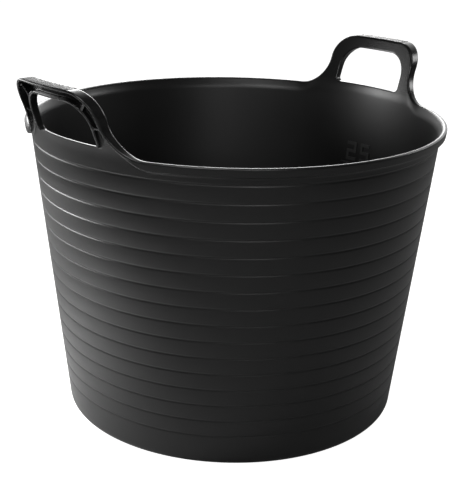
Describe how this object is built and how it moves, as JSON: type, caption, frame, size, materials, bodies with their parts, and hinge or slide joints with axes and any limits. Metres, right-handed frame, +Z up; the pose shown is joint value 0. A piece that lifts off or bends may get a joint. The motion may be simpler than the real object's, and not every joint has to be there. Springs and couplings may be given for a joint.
{
  "type": "flexible mortar mixing tub",
  "caption": "Round flexible mixing tub with a ringed, slightly conical wall, a thick flared lip, opposite carrying handles moulded up out of the rim, and a raised litre mark inside.",
  "frame": {"origin": "centre of the ring that the tub stands on, at ground level", "axes": "+Z up, +X through the handle that stands over the litre mark"},
  "size_m": [0.488, 0.4396, 0.3751],
  "materials": {
    "tub_plastic": "satin moulded, black, faintly mottled",
    "handle_plastic": "smoother moulded black, semi-gloss",
    "pebbled_grip": "pebbled black",
    "raised_mark": "raised in the wall's own black"
  },
  "bodies": {
    "tub": {"base_floor": "tub_plastic", "foot_ring": "tub_plastic", "side_wall": "tub_plastic", "front_lip": "tub_plastic", "rear_lip": "tub_plastic", "figure_two": "raised_mark", "figure_five": "raised_mark", "level_line": "raised_mark", "marked_saddle": "tub_plastic", "marked_riser_left": "tub_plastic", "marked_riser_right": "tub_plastic", "plain_saddle": "tub_plastic", "plain_riser_left": "tub_plastic", "plain_riser_right": "tub_plastic"},
    "marked_handle": {"marked_web": "handle_plastic", "marked_outer_flange": "handle_plastic", "marked_inner_flange": "handle_plastic", "marked_corner_rib_left": "handle_plastic", "marked_corner_rib_right": "handle_plastic", "marked_leg_rib_left": "handle_plastic", "marked_leg_rib_right": "handle_plastic", "marked_grip_pad": "pebbled_grip"},
    "plain_handle": {"plain_web": "handle_plastic", "plain_outer_flange": "handle_plastic", "plain_inner_flange": "handle_plastic", "plain_corner_rib_left": "handle_plastic", "plain_corner_rib_right": "handle_plastic", "plain_leg_rib_left": "handle_plastic", "plain_leg_rib_right": "handle_plastic", "plain_grip_pad": "pebbled_grip"}
  },
  "joints": [
    {"name": "marked_handle_flex", "type": "hinge", "parent": "tub", "child": "marked_handle", "pos_m": [0.21158, 0, 0.329], "axis": [0, -1, 0], "range_deg": [-15, 35], "stiffness_Nm_per_rad": 3},
    {"name": "plain_handle_flex", "type": "hinge", "parent": "tub", "child": "plain_handle", "pos_m": [-0.21158, 0, 0.329], "axis": [0, 1, 0], "range_deg": [-15, 35], "stiffness_Nm_per_rad": 3}
  ]
}
